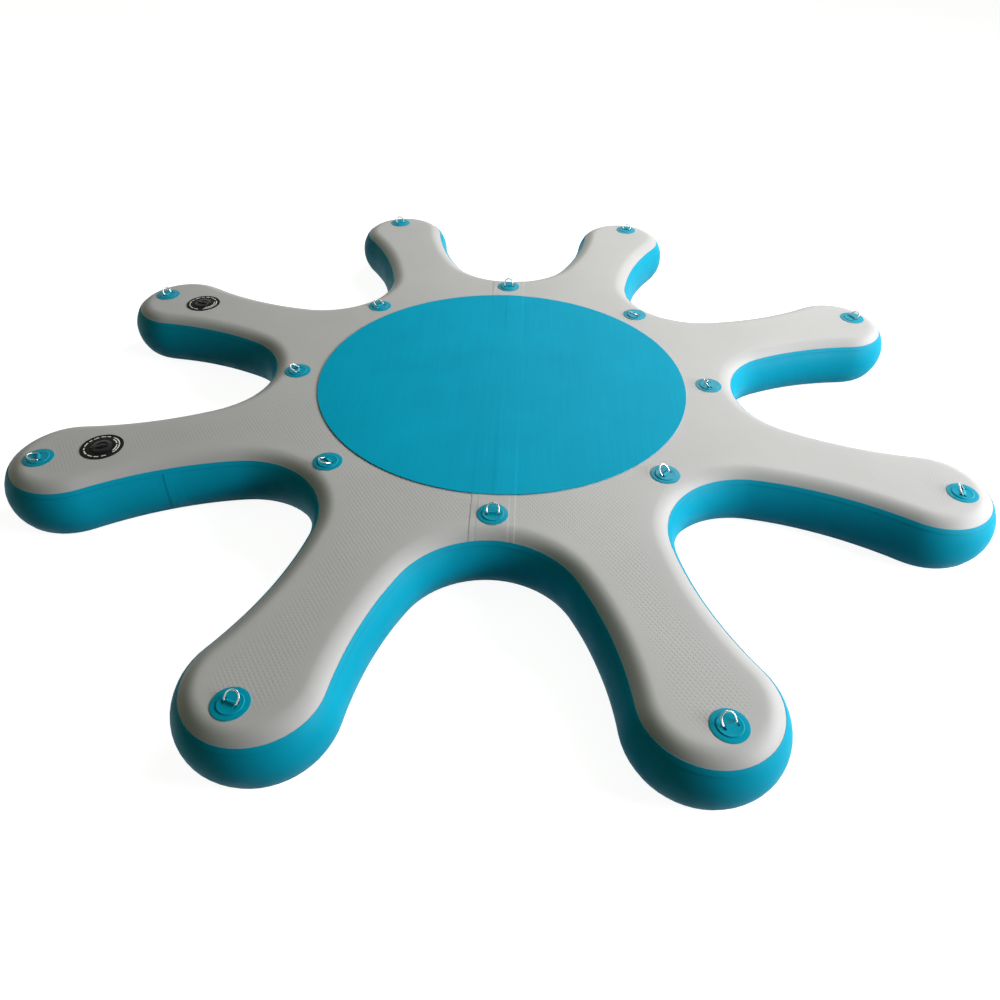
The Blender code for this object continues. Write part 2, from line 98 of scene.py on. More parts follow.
# %% Helpers for finishes
def linear(hex_colour):
    channels = [int(hex_colour[start : start + 2], 16) / 255 for start in (0, 2, 4)]
    return (*(c / 12.92 if c <= 0.04045 else ((c + 0.055) / 1.055) ** 2.4 for c in channels), 1)


def add_node(tree, kind, sockets=None, **settings):
    made = tree.nodes.new(kind)
    for name, value in settings.items():
        setattr(made, name, value)
    for name, value in (sockets or {}).items():
        if isinstance(value, bpy.types.NodeSocket):
            tree.links.new(value, made.inputs[name])
        else:
            made.inputs[name].default_value = value
    return made


def start_finish(name, **values):
    finish = bpy.data.materials.new(name)
    finish.use_nodes = True
    shader = finish.node_tree.nodes["Principled BSDF"]
    for socket, value in values.items():
        shader.inputs[socket.replace("_", " ")].default_value = value
    place = add_node(finish.node_tree, "ShaderNodeTexCoord").outputs["Object"]
    return finish, finish.node_tree, shader, place


def noisy(tree, place, scale, detail):
    sockets = {"Vector": place, "Scale": scale, "Detail": detail}
    return add_node(tree, "ShaderNodeTexNoise", sockets).outputs["Fac"]


def blend(tree, share, first, second):
    """A colour between two. The first is a hex colour or another node's output."""
    start = linear(first) if isinstance(first, str) else first
    mixed = add_node(tree, "ShaderNodeMix", {0: share, 6: start, 7: linear(second)}, data_type="RGBA")
    return mixed.outputs[2]


def spread(tree, share, low, high):
    """Stretches the usual range of a noise, 0.3 to 0.7, over a range of its own."""
    return add_node(tree, "ShaderNodeMapRange", {0: share, 1: 0.3, 2: 0.7, 3: low, 4: high}).outputs[0]


def bumped(tree, height, strength, distance, under=None):
    """A bump, laid over another one where that is given."""
    sockets = {"Height": height, "Strength": strength, "Distance": distance}
    if under is not None:
        sockets["Normal"] = under
    return add_node(tree, "ShaderNodeBump", sockets).outputs[0]


def plug_in(tree, shader, **outputs):
    for socket, output in outputs.items():
        tree.links.new(output, shader.inputs[socket.replace("_", " ")])


print("linear mid grey", [round(c, 3) for c in linear("808080")[:3]])

# %% [markdown]
# ## Meshes from rows of points
#
# Nearly everything here is cloth or a turned part, so nearly every mesh is a grid: rows of points with
# quads between them. A row is a section across the piece, and the rows follow one another along it or
# round it.
#
# A face is smooth-shaded by sharing its corners' normals with its neighbours. Where the cloth has a cut
# edge, that would tint its flat face, so borders and corners are marked sharp.

# %% Helpers for meshes
CORNER = math.radians(35)  # two faces that meet at more than this keep a sharp edge


def swept(rows, around=False, loop=False):
    """Quads between neighbouring rows. loop closes each row, around joins the last row to the first."""
    bm = bmesh.new()
    grid = [[bm.verts.new(spot) for spot in row] for row in rows]
    for row, beside in zip(grid, grid[1:] + (grid[:1] if around else [])):
        last = len(row) if loop else len(row) - 1
        for here in range(last):
            above = (here + 1) % len(row)
            bm.faces.new((row[here], beside[here], beside[above], row[above]))
    if loop and not around:
        bm.faces.new(grid[0][::-1])
        bm.faces.new(grid[-1])
    return bm, grid


def finished(bm, name):
    """A smooth mesh with sharp corners and borders, so that a sheet's cut edge doesn't tint its face."""
    bmesh.ops.recalc_face_normals(bm, faces=bm.faces)
    bm.edges.index_update()
    borders = [edge.index for edge in bm.edges if edge.is_boundary]
    mesh = bpy.data.meshes.new(name)
    bm.to_mesh(mesh)
    bm.free()
    mesh.shade_smooth()
    mesh.set_sharp_from_angle(angle=CORNER)
    for index in borders:
        mesh.edges[index].use_edge_sharp = True
    return mesh


def turns(start, end, step):
    """Angles in radians from start to end, both given in whole degrees."""
    return [math.radians(angle) for angle in range(start, end + 1, step)]


def polar(distance, angle):
    return Vector((distance * math.cos(angle), distance * math.sin(angle)))


def spun(name, profile, sides=72, closed=True):
    """A profile of (radius, height) points turned about Z."""
    rows = []
    for step in range(sides):
        way = polar(1, math.tau * step / sides)
        rows.append([(radius * way.x, radius * way.y, height) for radius, height in profile])
    bm, _ = swept(rows, around=True, loop=closed)
    bmesh.ops.remove_doubles(bm, verts=bm.verts, dist=1e-6)  # the points on the axis
    return finished(bm, name)


disc = spun("test_disc", [(0, 1), (1, 1), (1, 0), (0, 0)], 12, closed=False)
print("a turned disc has", len(disc.polygons), "faces")
bpy.data.meshes.remove(disc)

# %% [markdown]
# ## Studio
#
# A pale floor that curves up into a round wall, and soft lamps. The dock is lit by a wide window on the
# right, a smaller and lower one in front of it, and a high one at the back. Together they whiten the
# right shoulders and leave the walls that face left in deep shade, with a weak fill from the sky all
# round. The floor looks white to the eye and in reflections, where it keeps the dock's shadow. To light
# that bounces it is a darker grey, so that it doesn't flood the shaded walls.

# %% Floor, sky and lamps
COVE_PROFILE = [(0, 0), (24, 0), (27, 0.8), (29, 2.6), (30, 6), (30, 20)]
FLOOR_GLOW = 0.93
SKY_STRENGTH = 0.18


def seen_directly(tree):
    """1 for light that reaches the eye straight, by a reflection or through glass, otherwise 0."""
    path = add_node(tree, "ShaderNodeLightPath")
    seen = path.outputs["Is Camera Ray"]
    for other in ("Is Glossy Ray", "Is Transmission Ray"):
        either = add_node(tree, "ShaderNodeMath", {0: seen, 1: path.outputs[other]}, operation="MAXIMUM")
        seen = either.outputs[0]
    return seen


floor_paint = bpy.data.materials.new("matt_studio_floor")
floor_paint.use_nodes = True
tree = floor_paint.node_tree
tree.nodes.clear()
dim = add_node(tree, "ShaderNodeBsdfDiffuse", {"Color": linear("6a6a6a")})
lit = add_node(tree, "ShaderNodeBsdfDiffuse", {"Color": linear("b0b0b0")})
glow = add_node(tree, "ShaderNodeEmission", {"Color": linear("ffffff"), "Strength": FLOOR_GLOW})
pale = add_node(tree, "ShaderNodeAddShader", {0: lit.outputs[0], 1: glow.outputs[0]})
paint = add_node(
    tree, "ShaderNodeMixShader", {0: seen_directly(tree), 1: dim.outputs[0], 2: pale.outputs[0]}
)
add_node(tree, "ShaderNodeOutputMaterial", {"Surface": paint.outputs[0]})

cove = spun("studio_cove", COVE_PROFILE, 64, closed=False)
cove.materials.append(floor_paint)
floor = bpy.data.objects.new("studio_cove", cove)
bpy.context.scene.collection.objects.link(floor)

sky = bpy.data.worlds.new("studio_sky")
sky.use_nodes = True
sky_light = sky.node_tree.nodes["Background"]
sky_light.inputs["Color"].default_value = linear("e0f2c6")
sky_light.inputs["Strength"].default_value = SKY_STRENGTH
bpy.context.scene.world = sky


def panel_lamp(name, spot, aim, width, height, power, colour):
    """A rectangle of light, sized in metres and powered in watts."""
    data = bpy.data.lights.new(name, "AREA")
    data.shape = "RECTANGLE"
    data.size = width
    data.size_y = height
    data.energy = power
    data.color = linear(colour)[:3]
    lamp = bpy.data.objects.new(name, data)
    lamp.location = spot
    lamp.rotation_mode = "QUATERNION"
    lamp.rotation_quaternion = (Vector(aim) - Vector(spot)).to_track_quat("-Z", "Y")
    bpy.context.scene.collection.objects.link(lamp)


panel_lamp("window_right", (6.4, 1.2, 3.1), (0, 0, 0.1), 4.6, 2.4, 440, "f8faff")
panel_lamp("window_front_right", (4.4, -2.0, 2.0), (0.6, -0.4, 0.1), 2.0, 1.4, 195, "f8faff")
panel_lamp("window_back", (1.6, 3.4, 3.0), (0, 0.3, 0.1), 3.0, 1.6, 125, "ffffff")
print("lamps", [data.name for data in bpy.data.lights], "floor", floor.name)

# %% [markdown]
# ## Sizes of the dock
#
# These are the real sizes of the inflated body, as the solids have them. Seen from above, the outline is
# three kinds of arc that meet smoothly: a round end on each arm, a long hollow flank, and a round notch
# between neighbours. Seen from the side, the edge is a bulge: half an ellipse as tall as the body.

# %% Sizes
GAP = 0.0003  # between two layers
THICKNESS = 0.200  # of the inflated body
BULGE = 0.080  # from the border of the flat out to the widest line
ARM_ANGLE = math.radians(21.56)  # of each arm of a pair from the line between them
TIP_CENTRE = 1.413  # from the dock's middle to the centre of an arm's round end
TIP_RADIUS = 0.200
NOTCH_CENTRE = 1.075  # from the dock's middle to the centre of a notch
NOTCH_RADIUS = 0.235
FLANK_RADIUS = 1.040
SKIN = 0.0018  # two plies of cloth
TAPE = 0.0009
SEAM_GAP = 0.0012  # between the sheets of the two halves

BODY_MIDDLE = TAPE + GAP + THICKNESS / 2
PANEL_TOP = BODY_MIDDLE + THICKNESS / 2
TAPE_TOP = PANEL_TOP + GAP + TAPE
ACROSS = 2 * (TIP_CENTRE * math.cos(ARM_ANGLE) + TIP_RADIUS)
print("panel top", round(PANEL_TOP, 4), "m, dock", round(ACROSS, 3), "m across")


# %% Outline
def heading(vector):
    return math.atan2(vector.y, vector.x)


def arc(centre, radius, start, end, steps, facing):
    """Pairs of a point and the direction out of the dock; facing is 1 on a bulge and -1 in a hollow."""
    swing = math.remainder(end - start, math.tau)
    ways = [polar(1, start + swing * step / steps) for step in range(steps + 1)]
    return [(centre + radius * way, facing * way) for way in ways]


def half_arm(arm, notch):
    """From the end of an arm to the middle of the notch beside it, both given by their angle."""
    tip = polar(TIP_CENTRE, arm)
    hollow = polar(NOTCH_CENTRE, notch)
    reach = (hollow - tip).length
    along = (hollow - tip) / reach
    to_tip = FLANK_RADIUS + TIP_RADIUS
    foot = (to_tip**2 - (FLANK_RADIUS - NOTCH_RADIUS) ** 2 + reach**2) / (2 * reach)
    off = math.copysign(math.sqrt(to_tip**2 - foot**2), notch - arm)
    flank = tip + foot * along + off * Vector((along.y, -along.x))
    points = arc(tip, TIP_RADIUS, arm, heading(flank - tip), 16, 1)
    points += arc(flank, FLANK_RADIUS, heading(tip - flank), heading(hollow - flank), 14, -1)[1:]
    points += arc(hollow, NOTCH_RADIUS, heading(hollow - flank), notch + math.pi, 12, -1)[1:]
    return points


def arm_angle(number):
    """Arms are numbered counter-clockwise from the left one of the front pair."""
    pair = math.radians(-90 + 90 * ((number - 1) // 2))
    return pair + (ARM_ANGLE if number % 2 == 0 else -ARM_ANGLE)


def notch_angle(number):
    return math.radians(-90 + 45 * (number - 1))


RIGHT = []
for number in (2, 3, 4, 5):
    RIGHT += half_arm(arm_angle(number), notch_angle(number - 1))[:0:-1]
    RIGHT += half_arm(arm_angle(number), notch_angle(number))[:-1]
RIGHT.append(half_arm(arm_angle(5), notch_angle(5))[-1])
LEFT = [(Vector((-p.x, p.y)), Vector((-n.x, n.y))) for p, n in reversed(RIGHT)]
OUTLINE = RIGHT[:-1] + LEFT[:-1]
print("outline points", len(OUTLINE))

# %% [markdown]
# ## Cloth under pressure
#
# Air pushes the skin into the bulge, and thousands of yarns hold the flats flat. A skin like this could
# be inflated by a simulation, but drop-stitch cloth is so taut that its shape is known: rows of points
# are swept along the outline instead. Each row is a list of places on the bulge, given as an angle above
# its widest line and a depth under the face. The skin also sways by a few tenths of a millimetre, as
# cloth on air does, which breaks up the reflections. All layers take their sway from the same spot, so
# they never cross.

# %% Rows on the bulge
SWAY = 0.0006


def on_bulge(edge, angle, depth=0.0, side=0):
    """A place beside an outline point. A half, with side 1 or -1, keeps clear of the middle."""
    point, facing = edge
    level = THICKNESS / 2 * math.sin(angle)
    base = point - BULGE * (1 - math.cos(angle)) * facing
    out = Vector((math.cos(angle) / BULGE, math.sin(angle) * 2 / THICKNESS)).normalized()
    # Sway in waves of about 140 mm, and half as much in waves of about 45 mm
    sway = noise.noise(Vector((7 * base.x, 7 * base.y, 9 * level)))
    sway += 0.5 * noise.noise(Vector((23 * base.x, 23 * base.y, 16 * level)))
    lift = SWAY * sway * math.cos(angle) ** 2 - depth
    spot = base + lift * out.x * facing
    if side:
        spot.x = side * max(abs(spot.x), SEAM_GAP / 2)
    return Vector((spot.x, spot.y, BODY_MIDDLE + level + lift * out.y))


def on_flat(edge, inset, height, side=0):
    point, facing = edge
    spot = point - inset * facing
    if side:
        spot.x = side * max(abs(spot.x), SEAM_GAP / 2)
    return Vector((spot.x, spot.y, height))


def add_piece(name, mesh, finish, stands_for=(), body="dock", place=None):
    """Puts a mesh into the scene in its finish. It rides on a body and stands for CAD nodes."""
    made = bpy.data.objects.new(name, mesh)
    bpy.context.scene.collection.objects.link(made)
    if not mesh.materials:
        mesh.materials.append(finish)
    if place is not None:
        made.matrix_world = place
    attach(made, body)
    if stands_for:
        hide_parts(*stands_for)
    return made


print("sway up to", 1000 * SWAY, "mm")

# %% [markdown]
# ## Grey deck cloth
#
# The real sheet is polyester drop-stitch fabric coated with PVC. Every row of yarns pulls the face in by
# a hair, so the flat shows a fine lattice of low pads between the rows. It fades out on the shoulders,
# where there are no yarns. The coating is satin: it keeps its colour but whitens where it faces a window.
#
# The pads sit 12 mm apart across the dock and 18 mm along it, each row shifted by half. Two crossed waves
# give that lattice: each wave's crests are 10 mm apart and lie 33.7 degrees off the axis. A float
# attribute on the mesh, called yarns, is 1 on the flat and 0 on the shoulders, and fades the lattice.

# %% Grey PVC finish
LATTICE_ACROSS = 0.012
LATTICE_ALONG = 0.018
WAVE_LENGTH = math.tau / 20  # length of one wave of Blender's wave texture at scale 1
# How dark the painted shade and the dirt on the pads are
PAD_DIRT_AND_SHADE = 0.18


def times(tree, first, second):
    return add_node(tree, "ShaderNodeMath", {0: first, 1: second}, operation="MULTIPLY").outputs[0]


def lattice(tree, place):
    """1 in the middle of each pad and 0 along the rows of yarns."""
    slope = math.atan2(LATTICE_ACROSS, LATTICE_ALONG)
    crest = 1 / math.hypot(1 / LATTICE_ACROSS, 1 / LATTICE_ALONG)
    waves = []
    for turn in (slope, -slope):
        turned = add_node(tree, "ShaderNodeMapping", {"Vector": place, "Rotation": (0, 0, turn)})
        wave = add_node(
            tree,
            "ShaderNodeTexWave",
            {"Vector": turned.outputs[0], "Scale": WAVE_LENGTH / crest, "Distortion": 0.0},
            bands_direction="X",
        )
        waves.append(wave.outputs["Fac"])
    return times(tree, *waves)


def grey_pvc(name, embossed):
    finish, tree, shader, place = start_finish(name, Roughness=0.50, IOR=1.5, Specular_IOR_Level=0.28)
    # Slow patches of tone, about 300 mm across, from handling and uneven coating
    tone = blend(tree, noisy(tree, place, 3.3, 3.0), "aaa8a6", "b8b6b4")
    # Grain of the coating, 1 mm on the real sheet and drawn 3 mm wide to show
    bump = bumped(tree, noisy(tree, place, 330.0, 2.0), 0.25, 0.0003)
    if embossed:
        yarns = add_node(tree, "ShaderNodeAttribute", attribute_name="yarns")
        height = times(tree, lattice(tree, place), yarns.outputs["Fac"])
        bump = bumped(tree, height, 1.0, 0.0003, under=bump)
        # Painted shade that makes the lattice show, darkest in the middle of each pad, with dirt from feet
        # and hands
        tone = blend(tree, times(tree, height, PAD_DIRT_AND_SHADE), tone, "8f8b84")
    plug_in(tree, shader, Base_Color=tone, Normal=bump)
    return finish


deck_cloth = grey_pvc("embossed_grey_pvc_cloth", embossed=True)
tape_cloth = grey_pvc("smooth_grey_pvc_tape", embossed=False)
print("pads", LATTICE_ACROSS * 1000, "mm apart")

# %% [markdown]
# ## Teal cloth of the walls
#
# The side wall is a strip of the same coated cloth without yarns, satin and deep teal. In the light it
# goes to cyan, and in shade almost to black green. Its grain is a plain weave that the coating half
# hides.

# %% Teal PVC finish
def teal_pvc(name, dark, light, roughness):
    finish, tree, shader, place = start_finish(name, IOR=1.5, Specular_IOR_Level=0.08)
    tone = blend(tree, noisy(tree, place, 4.0, 2.0), dark, light)
    # Painted shadow under the step at a strip's lower edge, with dirt in its glue line, on meshes that
    # carry a float attribute for it
    glue_and_shadow_line = add_node(tree, "ShaderNodeAttribute", attribute_name="glue_and_shadow_line")
    tone = blend(tree, glue_and_shadow_line.outputs["Fac"], tone, "004c5a")
    # The weave, 0.8 mm on the real cloth and drawn 2.5 mm wide to show
    weave = add_node(tree, "ShaderNodeTexVoronoi", {"Vector": place, "Scale": 400.0})
    bump = bumped(tree, weave.outputs["Distance"], 0.15, 0.0003)
    # Slight slackness between the glue lines, 60 mm wide, which softens the edge of a highlight
    slack = noisy(tree, place, 16.0, 1.0)
    bump = bumped(tree, slack, 0.5, 0.002, under=bump)
    shine = spread(tree, slack, roughness - 0.05, roughness + 0.05)
    plug_in(tree, shader, Base_Color=tone, Roughness=shine, Normal=bump)
    return finish


wall_cloth = teal_pvc("satin_teal_pvc_wall", "0092ae", "009bb8", 0.56)
print("wall finish", wall_cloth.name)

# %% [markdown]
# ## Deck and bottom panels
#
# Each half of the dock has a top and a bottom sheet, which run from the middle line over the shoulder to
# the seam with the wall, 50 degrees above the bulge's widest line. The rows go up the shoulder and on
# over the flat as far as the yarns' attribute needs to fade, and one filled face closes the rest. A
# Solidify modifier gives the sheet its two plies. Around each valve a ring of points leaves the hole that
# the valve's barrel goes through, so that no cloth is inside the valve.

# %% Panels
SEAM = math.radians(50)
SEAM_TURN = SEAM_GAP / (BULGE + THICKNESS / 2)
VALVE_ARMS = {"front": 8, "back": 7}
VALVE_DISTANCE = TIP_CENTRE + TIP_RADIUS - 0.300  # 0.3 m in from the arm's end
BARREL_HOLE = 0.0225
HOLE_POINTS = 48
YARN_FADE = [(0.014, 0.15), (0.028, 0.5), (0.042, 0.85), (0.056, 1.0)]  # inward from the bulge


def panel_mesh(name, edges, side, up, valves):
    """One sheet; up is 1 for the deck and -1 for the bottom."""
    rise = (math.pi / 2 - SEAM - SEAM_TURN) / 10
    shoulder = [up * (SEAM + SEAM_TURN + step * rise) for step in range(11)]
    height = BODY_MIDDLE + up * THICKNESS / 2
    rows = []
    for edge in edges:
        row = [on_bulge(edge, angle, 0, side) for angle in shoulder]
        row += [on_flat(edge, BULGE + beyond, height, side) for beyond, _ in YARN_FADE]
        rows.append(row)
    bm, grid = swept(rows)
    border = [row[-1] for row in grid]
    rim = [bm.edges.get(pair) for pair in zip(border, border[1:])]
    rim.append(bm.edges.new((border[-1], border[0])))
    holes = 0
    for arm in valves:
        middle = polar(VALVE_DISTANCE, arm_angle(arm))
        ring = []
        for point in range(HOLE_POINTS):
            spot = middle + polar(BARREL_HOLE, math.tau * point / HOLE_POINTS)
            ring.append(bm.verts.new((*spot, height)))
        rim += [bm.edges.new(pair) for pair in zip(ring, ring[1:] + ring[:1])]
        holes += len(ring)
    bmesh.ops.triangle_fill(bm, use_beauty=True, edges=rim)
    mesh = finished(bm, name)
    shares = [0.0] * len(shoulder) + [share for _, share in YARN_FADE]
    yarns = mesh.attributes.new("yarns", "FLOAT", "POINT")
    yarns.data.foreach_set("value", shares * len(rows) + [1.0] * holes)
    return mesh


def add_panel(name, edges, side, up, finish, node, valves=()):
    panel = add_piece(name, panel_mesh(name, edges, side, up, valves), finish, [node])
    plies = panel.modifiers.new("two_plies", "SOLIDIFY")
    plies.thickness = SKIN
    plies.offset = -1


add_panel("deck_cloth_right", RIGHT, 1, 1, deck_cloth, "top_panel_right")
add_panel("deck_cloth_left", LEFT, -1, 1, deck_cloth, "top_panel_left", VALVE_ARMS.values())
add_panel("bottom_cloth_right", RIGHT, 1, -1, wall_cloth, "bottom_panel_right")
add_panel("bottom_cloth_left", LEFT, -1, -1, wall_cloth, "bottom_panel_left")

# %% [markdown]
# ## Side wall and its tapes
#
# The wall is one strip round the whole outline. Where it meets a panel, a narrow teal tape covers the
# seam: its upper edge is the crisp border between grey and teal, and its lower edge is a low step in the
# wall. A thin dark line is painted in that step: the step's shadow, with glue and dirt, clearer in some
# places than in others. Hands laid the tape, so the line wanders by a millimetre or two. The strip's two
# ends overlap on the flank of the left arm: the outer end stops at an upright edge with the same painted
# dark line, and the inner one tapers away under it.

# %% Wall, seam tapes and lap joint
WALL_EDGE = 49.3  # degrees up the bulge, as are the next two
TAPE_LOW = 41.5
TAPE_HIGH = 51.1
TAPE_STANDS = 0.0011


def with_glue_and_shadow(mesh, shares):
    """Marks a mesh's points for the dark line of painted shadow and glue, up to 1 in the line and 0 off it.
    """
    glue_and_shadow_line = mesh.attributes.new("glue_and_shadow_line", "FLOAT", "POINT")
    glue_and_shadow_line.data.foreach_set("value", shares)
    return mesh


def wall_row(edge):
    outside = [on_bulge(edge, math.radians(WALL_EDGE * step / 14)) for step in range(-14, 15)]
    inside = [on_bulge(edge, math.radians(WALL_EDGE * step / 6), SKIN) for step in range(6, -7, -1)]
    return outside + inside


def seam_row(edge, up):
    """Section of a seam tape: along its outer face, and back along its inner face."""
    point = edge[0]
    wander = 0.8 * noise.noise(Vector((9 * point.x, 9 * point.y, 5 + up)))
    low = TAPE_LOW + wander
    steps = [low + (TAPE_HIGH - low) * step / 8 for step in range(9)]
    outside = [(low - 0.2, 0.0001)] + [(angle, -TAPE_STANDS) for angle in steps]
    outside.append((TAPE_HIGH + 0.2, 0.0001))
    inside = [(angle, 0.00025) for angle in (49.5, 47.0, 44.5)]
    return [on_bulge(edge, up * math.radians(angle), depth) for angle, depth in outside + inside]


bm, _ = swept([wall_row(edge) for edge in OUTLINE], around=True, loop=True)
add_piece("wall_strip", finished(bm, "wall_strip"), wall_cloth, ["side_wall"])
for name, up in (("seam_tape_upper", 1), ("seam_tape_lower", -1)):
    bm, grid = swept([seam_row(edge, up) for edge in OUTLINE], around=True, loop=True)
    marks = []
    for point, _ in OUTLINE:
        # Painted shadow under the tape's lower edge, with glue and dirt, stronger in some places than in
        # others
        shadow_and_dirt = max(0.0, 0.3 + 0.6 * noise.noise(Vector((2.5 * point.x, 2.5 * point.y, 3 + up))))
        marks += [shadow_and_dirt, shadow_and_dirt] + [0.0] * (len(grid[0]) - 2)
    add_piece(name, with_glue_and_shadow(finished(bm, name), marks), wall_cloth)

LAP_SPOT = Vector((-1.020, -0.533))
LAP_WIDTH = 0.045
LAP_THICK = 0.0011
LAP_TAPER = 0.0009
LAP_STEPS = (0, 0.25, 1, 2, 3, 4, 5, 6, 7, 8)  # eighths of the width, with the dark line in the first


def outline_at(place):
    """The outline point and its facing at a place between two of its points."""
    (here, facing), (there, other) = OUTLINE[int(place)], OUTLINE[int(place) + 1]
    share = place % 1
    return here.lerp(there, share), facing.lerp(other, share).normalized()


def from_lap(place):
    return (outline_at(place)[0] - LAP_SPOT).length


middle = len(OUTLINE) // 2
lap_start = min((middle + step / 20 for step in range(20 * (middle - 1))), key=from_lap)
spacing = (OUTLINE[int(lap_start) + 1][0] - OUTLINE[int(lap_start)][0]).length
lap_rows = []
for step in LAP_STEPS:
    edge = outline_at(lap_start + step / 8 * LAP_WIDTH / spacing)
    thick = LAP_THICK - LAP_TAPER * step / 8
    outside = [on_bulge(edge, math.radians(TAPE_LOW * turn / 10), -thick) for turn in range(-10, 11)]
    inside = [on_bulge(edge, math.radians(TAPE_LOW * turn / 10), 0.0001) for turn in range(10, -11, -1)]
    lap_rows.append(outside + inside)
bm, grid = swept(lap_rows, loop=True)
# The first row, at the lap's upright outer edge, carries a painted shadow line with glue
marks = [0.5] * len(grid[0]) + [0.0] * len(grid[0]) * (len(grid) - 1)
add_piece("wall_lap_joint", with_glue_and_shadow(finished(bm, "wall_lap_joint"), marks), wall_cloth)
print("lap joint at", [round(c, 3) for c in outline_at(lap_start)[0]])

# %% [markdown]
# ## Drop-stitch core
#
# Between the skins are the yarns and the air among them. They can't be seen once the dock is closed, so
# they stay one block in each half, smooth like the skins that lie on it, with a pocket for each valve.
# Their finish is white polyester yarn standing upright, in rows.

# %% Core
def yarn_finish():
    finish, tree, shader, place = start_finish(
        "standing_polyester_yarn", Roughness=0.85, IOR=1.5, Sheen_Weight=0.3, Sheen_Roughness=0.5
    )
    # Yarns stand 2 mm apart. Squeezing the height axis turns a noise into upright strands.
    strands = add_node(tree, "ShaderNodeMapping", {"Vector": place, "Scale": (500, 500, 12)})
    thread = noisy(tree, strands.outputs[0], 1.0, 1.0)
    tone = blend(tree, thread, "c9c7bf", "f0efe9")
    plug_in(tree, shader, Base_Color=tone, Normal=bumped(tree, thread, 0.8, 0.001))
    return finish


def seat_of(distance, angle, height):
    """Where a patch or a valve sits: its own X axis points outward along the arm."""
    return Matrix.Translation((*polar(distance, angle), height)) @ Matrix.Rotation(angle, 4, "Z")


CARVED_CORNER = math.radians(32)


def carved(mesh, added, removed):
    """The mesh with others joined to it and then others cut away, by the Boolean modifier."""
    block = bpy.data.objects.new(mesh.name, mesh)
    bpy.context.scene.collection.objects.link(block)
    tools = []
    for tool_mesh, operation in [(m, "UNION") for m in added] + [(m, "DIFFERENCE") for m in removed]:
        tool = bpy.data.objects.new(tool_mesh.name, tool_mesh)
        bpy.context.scene.collection.objects.link(tool)
        change = block.modifiers.new(tool_mesh.name, "BOOLEAN")
        change.operation = operation
        change.object = tool
        change.solver = "EXACT"
        tools.append(tool)
    graph = bpy.context.evaluated_depsgraph_get()
    result = bpy.data.meshes.new_from_object(block.evaluated_get(graph))
    for extra in [block, *tools]:
        bpy.data.objects.remove(extra)
    result.materials.clear()
    result.shade_smooth()
    result.set_sharp_from_angle(angle=CARVED_CORNER)
    return result


POCKET_PROFILE = [(0, 0.01), (0.034, 0.01), (0.034, -0.043), (0, -0.043)]

yarn = yarn_finish()
for half, edges, side in (("right", RIGHT, 1), ("left", LEFT, -1)):
    rows = [[on_bulge(edge, angle, SKIN + GAP, side) for angle in turns(-90, 90, 10)] for edge in edges]
    bm, grid = swept(rows, around=True)
    bm.faces.new([row[0] for row in grid][::-1])
    bm.faces.new([row[-1] for row in grid])
    core = finished(bm, f"yarn_core_{half}")
    if half == "left":
        pockets = []
        for arm in VALVE_ARMS.values():
            pocket = spun("pocket", POCKET_PROFILE, 48, closed=False)
            pocket.transform(seat_of(VALVE_DISTANCE, arm_angle(arm), PANEL_TOP))
            pockets.append(pocket)
        core = carved(core, [], pockets)
    add_piece(f"yarn_core_{half}", core, yarn, [f"drop_stitch_{half}"])
print("core of the left half", len(core.polygons), "faces")

# %% [markdown]
# ## Tapes over the middle seam
#
# The dock is glued from two halves, so one broad grey tape runs over the joint from the front notch to
# the back one, over both shoulders. A notch is a hollow of constant radius, so the tape's own columns can
# be laid on it exactly: for each distance from the middle line the column climbs the shoulder, crosses
# the flat and goes down the other side. The tape has two plies, the upper one narrower, and the roller
# has pressed their edges to slopes. Those catch the light as thin lines. The bottom tape has the same
# form upside down, in teal.

# %% Middle tapes
TAPE_HALF = 0.064
TAPE_END = math.radians(51.6)
TAPE_FACE = [  # (distance from the middle line, thickness) over the edges of the two plies
    (TAPE_HALF, 0.00025), (0.0615, 0.0006), (0.0465, 0.0006), (0.0440, TAPE), (0.030, TAPE), (0.015, TAPE),
]
PRESSED_EDGE = math.radians(4)


def over_notch(x, angle, depth, end):
    """A place on the shoulder of the front notch, where end is -1, or the back one, where it is 1."""
    radius = NOTCH_RADIUS + BULGE * (1 - math.cos(angle))
    across = x / radius
    facing = Vector((-across, end * math.sqrt(1 - across**2)))
    edge = (Vector((0, end * NOTCH_CENTRE)) - NOTCH_RADIUS * facing, facing)
    return on_bulge(edge, angle, depth)


def middle_tape(name, up, finish, node):
    climb = [up * (TAPE_END + step * (math.pi / 2 - TAPE_END) / 8) for step in range(9)]
    columns = [(-x, thick) for x, thick in TAPE_FACE] + [(0, TAPE)] + TAPE_FACE[::-1]
    rows = []
    for x, thick in columns:
        over = [over_notch(x, angle, -GAP - thick, -1) for angle in climb]
        over += [over_notch(x, angle, -GAP - thick, 1) for angle in reversed(climb)]
        under = [over_notch(x, angle, -GAP, 1) for angle in climb]
        under += [over_notch(x, angle, -GAP, -1) for angle in reversed(climb)]
        rows.append(over + under)
    bm, _ = swept(rows, loop=True)
    mesh = finished(bm, name)
    mesh.set_sharp_from_angle(angle=PRESSED_EDGE)
    add_piece(name, mesh, finish, [node])


middle_tape("middle_tape_top", 1, tape_cloth, "top_seam_tape")
middle_tape("middle_tape_bottom", -1, wall_cloth, "bottom_seam_tape")
print("middle tapes", round(2000 * TAPE_HALF), "mm wide")

# %% [markdown]
# ## Deck pad
#
# The round pad is a 3 mm sheet of closed-cell foam, brushed on its face. It is soft enough to show what
# lies under it: it climbs onto the middle tape, rises to the joint, which reads as a darker band on the
# left and a brighter one on the right, and steps down again. The foam gives way underneath, where it
# takes the tape's shape.

